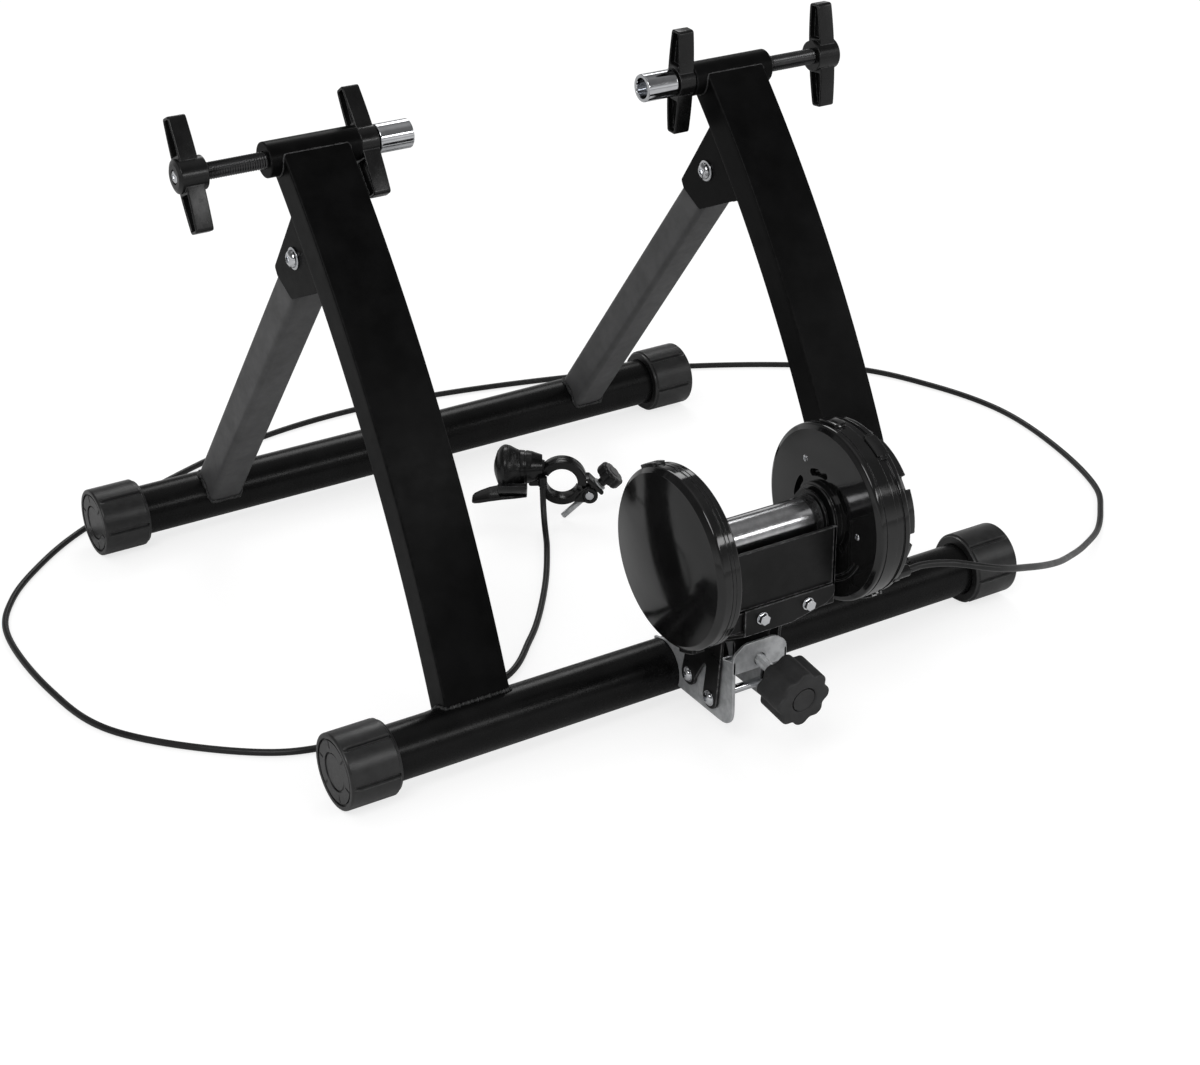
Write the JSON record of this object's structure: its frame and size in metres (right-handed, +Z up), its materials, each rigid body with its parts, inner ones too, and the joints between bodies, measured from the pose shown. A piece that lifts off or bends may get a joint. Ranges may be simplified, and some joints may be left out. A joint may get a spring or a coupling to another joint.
{
  "type": "wheel-on turbo trainer",
  "caption": "Folding A-frame bicycle trainer: screw clamps hold the rear axle over a roller with flywheel, magnetic brake, swing mount and cable remote.",
  "frame": {"origin": "on the floor, under the middle of the trainer's footprint, cable left out", "axes": "+X along the two floor tubes from the flywheel side to the brake side, +Y from the roller towards the folding legs, +Z up"},
  "size_m": [0.8678, 0.6862, 0.3983],
  "materials": {
    "black_paint": "satin black powder coat",
    "grey_paint": "mid grey powder coat",
    "rubber": "dark grey moulded rubber",
    "chrome": "bright chrome plate",
    "zinc": "zinc plated sheet steel",
    "dark_steel": "blackened steel",
    "aluminium": "turned aluminium",
    "gloss_plastic": "glossy black moulding",
    "matte_plastic": "textured black moulding",
    "magnet": "dull grey magnet carrier"
  },
  "bodies": {
    "frame": {"base_tube": "black_paint", "base_foot_left": "rubber", "base_foot_right": "rubber", "upright_left": "black_paint", "upright_right": "black_paint", "pivot_bracket_left": "black_paint", "pivot_bracket_right": "black_paint", "pivot_bolt_left": "chrome", "pivot_bolt_right": "chrome", "pivot_nut_left": "chrome", "pivot_nut_right": "chrome", "clamp_sleeve_left": "black_paint", "clamp_sleeve_right": "black_paint", "fixed_bracket": "zinc", "swing_pivot_pin": "chrome", "shifter_body": "matte_plastic", "jaw_hinge_pin": "chrome", "brake_cable": "rubber"},
    "leg_frame": {"leg_tube": "black_paint", "leg_left": "grey_paint", "leg_right": "grey_paint", "leg_foot_left": "rubber", "leg_foot_right": "rubber"},
    "left_cup": {"axle_cup_left": "chrome"},
    "left_screw": {"clamp_screw_left": "dark_steel", "clamp_handle_left": "matte_plastic"},
    "left_lock": {"lock_nut_left": "matte_plastic"},
    "right_cup": {"axle_cup_right": "chrome"},
    "right_screw": {"clamp_screw_right": "dark_steel", "clamp_handle_right": "matte_plastic"},
    "right_lock": {"lock_nut_right": "matte_plastic"},
    "roller_unit": {"swing_arm": "black_paint", "swing_guide_pin": "chrome", "cradle_bolt_left": "chrome", "cradle_bolt_right": "chrome", "cradle": "black_paint", "bearing_left": "matte_plastic", "bearing_right": "matte_plastic", "flywheel_cover": "gloss_plastic", "flywheel_back": "gloss_plastic", "brake_inner_cover": "gloss_plastic", "brake_outer_cover": "gloss_plastic"},
    "rotor": {"roller": "chrome", "roller_shaft": "dark_steel", "flywheel": "dark_steel", "brake_rotor": "aluminium"},
    "dial": {"resistance_dial": "gloss_plastic", "magnet_plate": "magnet"},
    "tension_foot": {"tension_tip": "dark_steel"},
    "tension_screw": {"tension_bolt": "zinc", "tension_knob": "matte_plastic"},
    "lever": {"shifter_lever": "matte_plastic"},
    "jaw": {"shifter_jaw": "matte_plastic", "jaw_swivel": "chrome"},
    "thumb_seat": {"thumb_washer": "zinc"},
    "thumb": {"thumb_screw": "zinc", "thumb_knob": "matte_plastic"}
  },
  "joints": [
    {"name": "leg_fold", "type": "hinge", "parent": "frame", "child": "leg_frame", "pos_m": [0, 0.05135, 0.28913], "axis": [-1, 0, 0], "range_deg": [0, 60]},
    {"name": "left_clamp_travel", "type": "slide", "parent": "frame", "child": "left_cup", "axis": [1, 0, 0], "range_m": [0, 0.04]},
    {"name": "left_clamp_turn", "type": "hinge", "parent": "left_cup", "child": "left_screw", "pos_m": [0, 0.051, 0.3602], "axis": [1, 0, 0], "range_deg": [0, 8229]},
    {"name": "left_lock_turn", "type": "hinge", "parent": "frame", "child": "left_lock", "pos_m": [0, 0.051, 0.3602], "axis": [1, 0, 0], "range_deg": [0, 180]},
    {"name": "right_clamp_travel", "type": "slide", "parent": "frame", "child": "right_cup", "axis": [-1, 0, 0], "range_m": [0, 0.04]},
    {"name": "right_clamp_turn", "type": "hinge", "parent": "right_cup", "child": "right_screw", "pos_m": [0, 0.051, 0.3602], "axis": [-1, 0, 0], "range_deg": [0, 8229]},
    {"name": "right_lock_turn", "type": "hinge", "parent": "frame", "child": "right_lock", "pos_m": [0, 0.051, 0.3602], "axis": [-1, 0, 0], "range_deg": [0, 180]},
    {"name": "unit_swing", "type": "hinge", "parent": "frame", "child": "roller_unit", "pos_m": [0, -0.187, 0.03578], "axis": [-1, 0, 0], "range_deg": [-5, 5]},
    {"name": "roller_spin", "type": "hinge", "parent": "roller_unit", "child": "rotor", "pos_m": [0, -0.2296, 0.1533], "axis": [1, 0, 0], "continuous": true},
    {"name": "dial_turn", "type": "hinge", "parent": "roller_unit", "child": "dial", "pos_m": [0, -0.2296, 0.1533], "axis": [1, 0, 0], "range_deg": [0, 48]},
    {"name": "tension_travel", "type": "slide", "parent": "frame", "child": "tension_foot", "axis": [0, 0.9903, 0.1392], "range_m": [-0.0026, 0.0026]},
    {"name": "tension_turn", "type": "hinge", "parent": "tension_foot", "child": "tension_screw", "pos_m": [0, -0.2351, 0.06268], "axis": [0, 0.9903, 0.1392], "range_deg": [-720, 720]},
    {"name": "lever_turn", "type": "hinge", "parent": "frame", "child": "lever", "pos_m": [0.0626, 0.1171, 0.046], "axis": [-0.848, 0.5299, 0], "range_deg": [0, 97]},
    {"name": "jaw_open", "type": "hinge", "parent": "frame", "child": "jaw", "pos_m": [0.04784, 0.12632, 0.037], "axis": [0.5299, 0.848, 0], "range_deg": [0, 9]},
    {"name": "thumb_travel", "type": "slide", "parent": "jaw", "child": "thumb_seat", "axis": [0.6172, -0.3857, 0.6858], "range_m": [0, 0.008]},
    {"name": "thumb_turn", "type": "hinge", "parent": "thumb_seat", "child": "thumb", "pos_m": [0.08083, 0.10571, 0.023], "axis": [0.6172, -0.3857, 0.6858], "range_deg": [0, 3420]}
  ],
  "couplings": [
    {"joint": "left_clamp_turn", "follows": "left_clamp_travel", "rad_per_m": 3590.4},
    {"joint": "right_clamp_turn", "follows": "right_clamp_travel", "rad_per_m": 3590.4},
    {"joint": "tension_travel", "follows": "unit_swing", "m_per_rad": 0.0276},
    {"joint": "tension_turn", "follows": "unit_swing", "ratio": 138.73},
    {"joint": "lever_turn", "follows": "dial_turn", "ratio": 2},
    {"joint": "thumb_travel", "follows": "jaw_open", "m_per_rad": 0.048},
    {"joint": "thumb_turn", "follows": "jaw_open", "ratio": 376.99}
  ]
}
